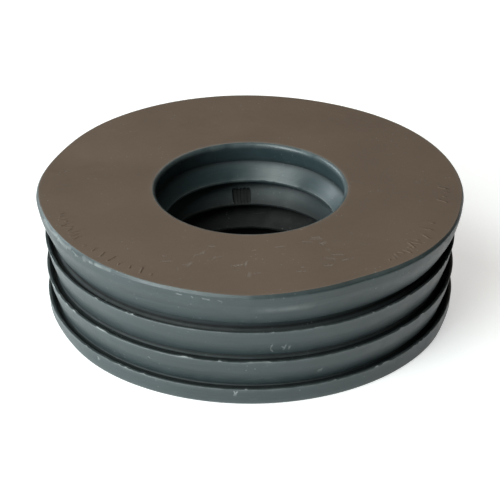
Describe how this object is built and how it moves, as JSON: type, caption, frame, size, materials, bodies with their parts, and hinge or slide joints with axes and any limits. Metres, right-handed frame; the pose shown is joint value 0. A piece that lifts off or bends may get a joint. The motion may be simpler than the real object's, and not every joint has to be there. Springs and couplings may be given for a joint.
{
  "type": "rubber pipe reducer",
  "caption": "Round rubber reducer with a flat flange, barbed outer sealing lips for a 110 mm soil pipe and a lipped bore for a 50 mm waste pipe.",
  "frame": {"origin": "on the axis, at the flat bottom edge that the part stands on", "axes": "+Z along the axis, from the bottom edge towards the flange face; X and Y lie across the pipe and are interchangeable"},
  "size_m": [0.1108, 0.1108, 0.0316],
  "materials": {
    "face_rubber": "smooth moulded rubber, semi-gloss, fine scratches",
    "wall_rubber": "moulded rubber, satin",
    "bore_rubber": "moulded rubber, semi-gloss"
  },
  "bodies": {
    "root": {"face_flange": "face_rubber", "bore_rim": "bore_rubber", "outer_skirt": "wall_rubber", "inner_sleeve": "bore_rubber", "outer_lip_1": "wall_rubber", "outer_lip_2": "wall_rubber", "outer_lip_3": "wall_rubber", "inner_lip_1": "bore_rubber", "inner_lip_2": "bore_rubber", "inner_lip_3": "bore_rubber"}
  },
  "joints": []
}
